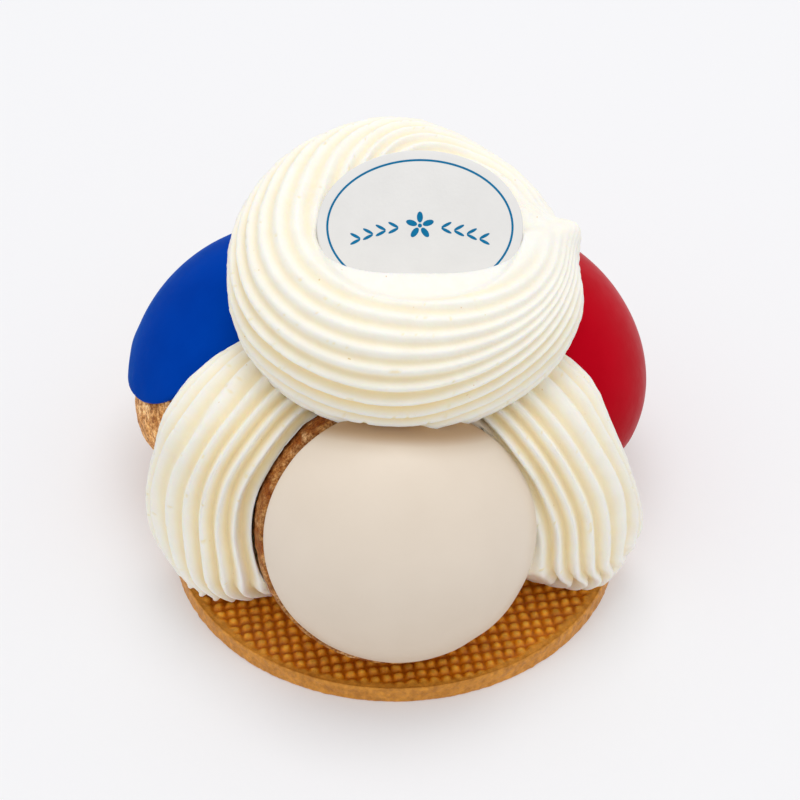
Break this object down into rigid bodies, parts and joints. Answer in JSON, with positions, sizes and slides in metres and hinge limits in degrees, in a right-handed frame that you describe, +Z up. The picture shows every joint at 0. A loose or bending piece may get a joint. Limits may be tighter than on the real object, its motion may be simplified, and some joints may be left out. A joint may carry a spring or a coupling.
{
  "type": "saint-honoré cake",
  "caption": "Individual cake of iced choux standing on a round crisp base, with ribbed cream piped between them, a ribbed cream ring on top and a thin oval plaque.",
  "frame": {"origin": "centre of the round base's flat underside", "axes": "+Z up, -Y to the front, where the chou with the ivory icing is, +X to the right, towards the chou with the red icing"},
  "size_m": [0.0938, 0.0911, 0.0813],
  "materials": {
    "sable": "matte, golden brown baked biscuit",
    "craquelin": "matte, cracked golden brown crust",
    "icing_ivory": "satin ivory icing",
    "icing_blue": "satin deep blue icing",
    "icing_red": "satin deep red icing",
    "cream": "soft satin whipped cream",
    "plaque": "satin pale chocolate plaque with a thin blue border line"
  },
  "bodies": {
    "root": {"sable_base": "sable", "chou_front": "craquelin", "chou_left": "craquelin", "chou_right": "craquelin", "icing_front": "icing_ivory", "icing_left": "icing_blue", "icing_right": "icing_red", "cream_strip_left": "cream", "cream_strip_right": "cream", "cream_strip_back": "cream", "cream_ring": "cream", "plaque": "plaque"}
  },
  "joints": []
}
